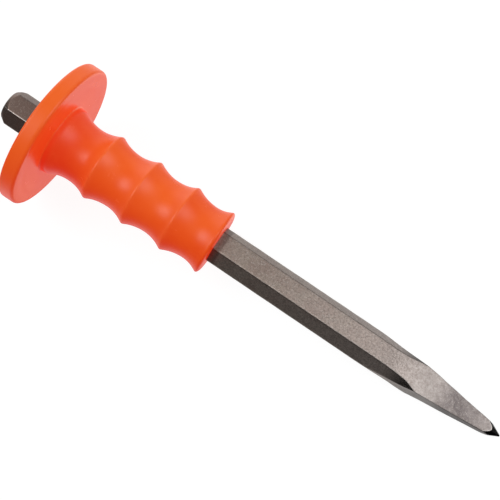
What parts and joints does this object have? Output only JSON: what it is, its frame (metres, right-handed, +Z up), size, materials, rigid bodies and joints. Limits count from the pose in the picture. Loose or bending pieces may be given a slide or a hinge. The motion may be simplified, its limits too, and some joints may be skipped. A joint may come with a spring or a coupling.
{
  "type": "cold chisel",
  "caption": "Pointed cold chisel: a hexagonal steel bar drawn to a point, with a slip-on moulded hand guard that has a round disc and a finger-grooved sleeve.",
  "frame": {"origin": "centre of the bounding box at bench level, under the tool as it lies on the guard's rim and the point", "axes": "+X towards the point in plan (the tool's own axis dips 8.15 degrees below +X), +Z up, a flat of the hexagon faces up"},
  "size_m": [0.303, 0.0826, 0.0827],
  "materials": {
    "steel": "satin forged and ground steel, darker at the striking head, ground bare on the point",
    "guard_plastic": "semi-gloss soft moulded PVC, safety orange"
  },
  "bodies": {
    "bar": {"chisel_bar": "steel"},
    "guard": {"hand_guard": "guard_plastic"}
  },
  "joints": [
    {"name": "guard_slide", "type": "slide", "parent": "bar", "child": "guard", "axis": [-0.9899, 0, 0.1418], "range_m": [0, 0.135]}
  ]
}
